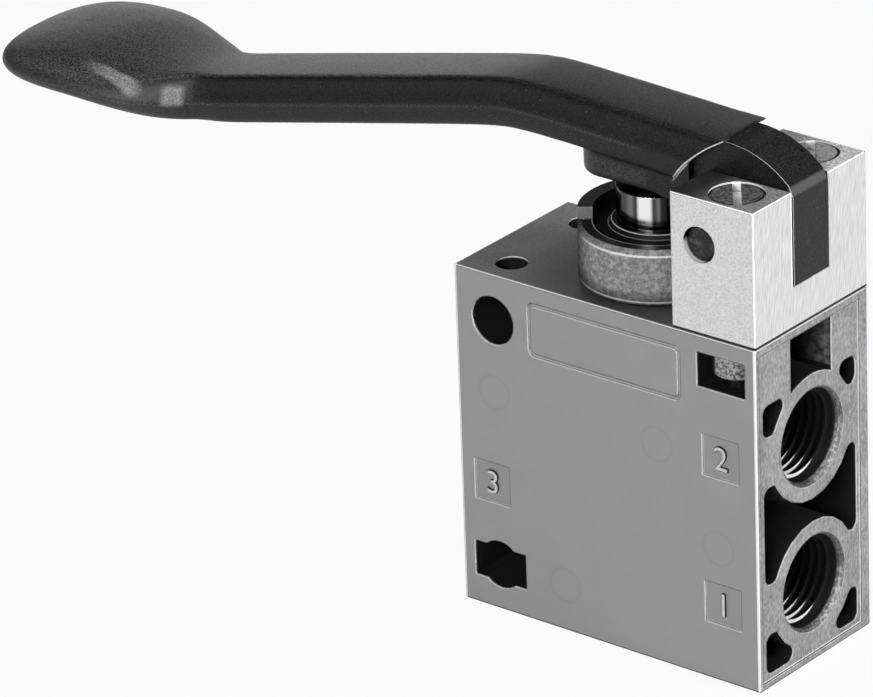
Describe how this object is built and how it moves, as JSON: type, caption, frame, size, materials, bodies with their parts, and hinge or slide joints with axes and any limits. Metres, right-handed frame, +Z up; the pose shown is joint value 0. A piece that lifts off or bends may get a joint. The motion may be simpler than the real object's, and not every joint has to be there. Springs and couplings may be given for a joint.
{
  "type": "manual directional valve",
  "caption": "Lever-operated poppet directional valve: block housing with threaded ports, domed plunger in a notched collar, clevis and bent finger lever with an oval grip pad.",
  "frame": {"origin": "centre of the housing's flat bottom face", "axes": "+X out of the face with the supply and outlet ports, the lever reaches to -X; +Y across the housing's thin side; +Z up along the plunger"},
  "size_m": [0.1343, 0.0288, 0.0755],
  "materials": {
    "housing": "satin die casting",
    "cast_collar": "cast and turned",
    "bronze": "sintered",
    "seal": "matt",
    "plug": "turned",
    "turned_steel": "ground",
    "spring_steel": "drawn wire",
    "clevis": "milled and brushed",
    "plated_steel": "zinc plated",
    "dark_steel": "blackened",
    "lever_moulding": "fine grained"
  },
  "bodies": {
    "housing": {"valve_body": "housing", "guide_bonnet": "cast_collar", "guide_bush": "bronze", "wiper_seal": "seal", "plunger_o_ring": "seal", "bonnet_o_ring": "seal", "seal_carrier": "bronze", "carrier_o_ring": "seal", "stem_o_ring": "seal", "seat_insert": "bronze", "seat_o_ring": "seal", "bottom_plug": "plug", "plug_o_ring": "seal", "clevis_block": "clevis", "clevis_screws": "plated_steel", "clamp_nuts": "plated_steel", "pivot_pin": "dark_steel"},
    "lever": {"lever": "lever_moulding", "pivot_bush": "bronze"},
    "plunger": {"plunger": "turned_steel", "plunger_spring": "spring_steel"},
    "poppet": {"poppet": "turned_steel", "poppet_seal": "seal", "poppet_spring": "spring_steel"}
  },
  "joints": [
    {"name": "lever_hinge", "type": "hinge", "parent": "housing", "child": "lever", "pos_m": [0.0162, 0, 0.063], "axis": [0, -1, 0], "range_deg": [0, 8.5], "stiffness_Nm_per_rad": 1.5, "springref_deg": -8.59},
    {"name": "plunger_slide", "type": "slide", "parent": "housing", "child": "plunger", "axis": [0, 0, -1], "range_m": [0, 0.0028], "deforming": ["plunger_spring"]},
    {"name": "poppet_slide", "type": "slide", "parent": "housing", "child": "poppet", "axis": [0, 0, -1], "range_m": [0, 0.0017], "deforming": ["poppet_spring"]}
  ],
  "couplings": [
    {"joint": "plunger_slide", "follows": "lever_hinge", "m_per_rad": 0.0183},
    {"joint": "poppet_slide", "follows": "lever_hinge", "m_per_rad": 0.01085}
  ]
}
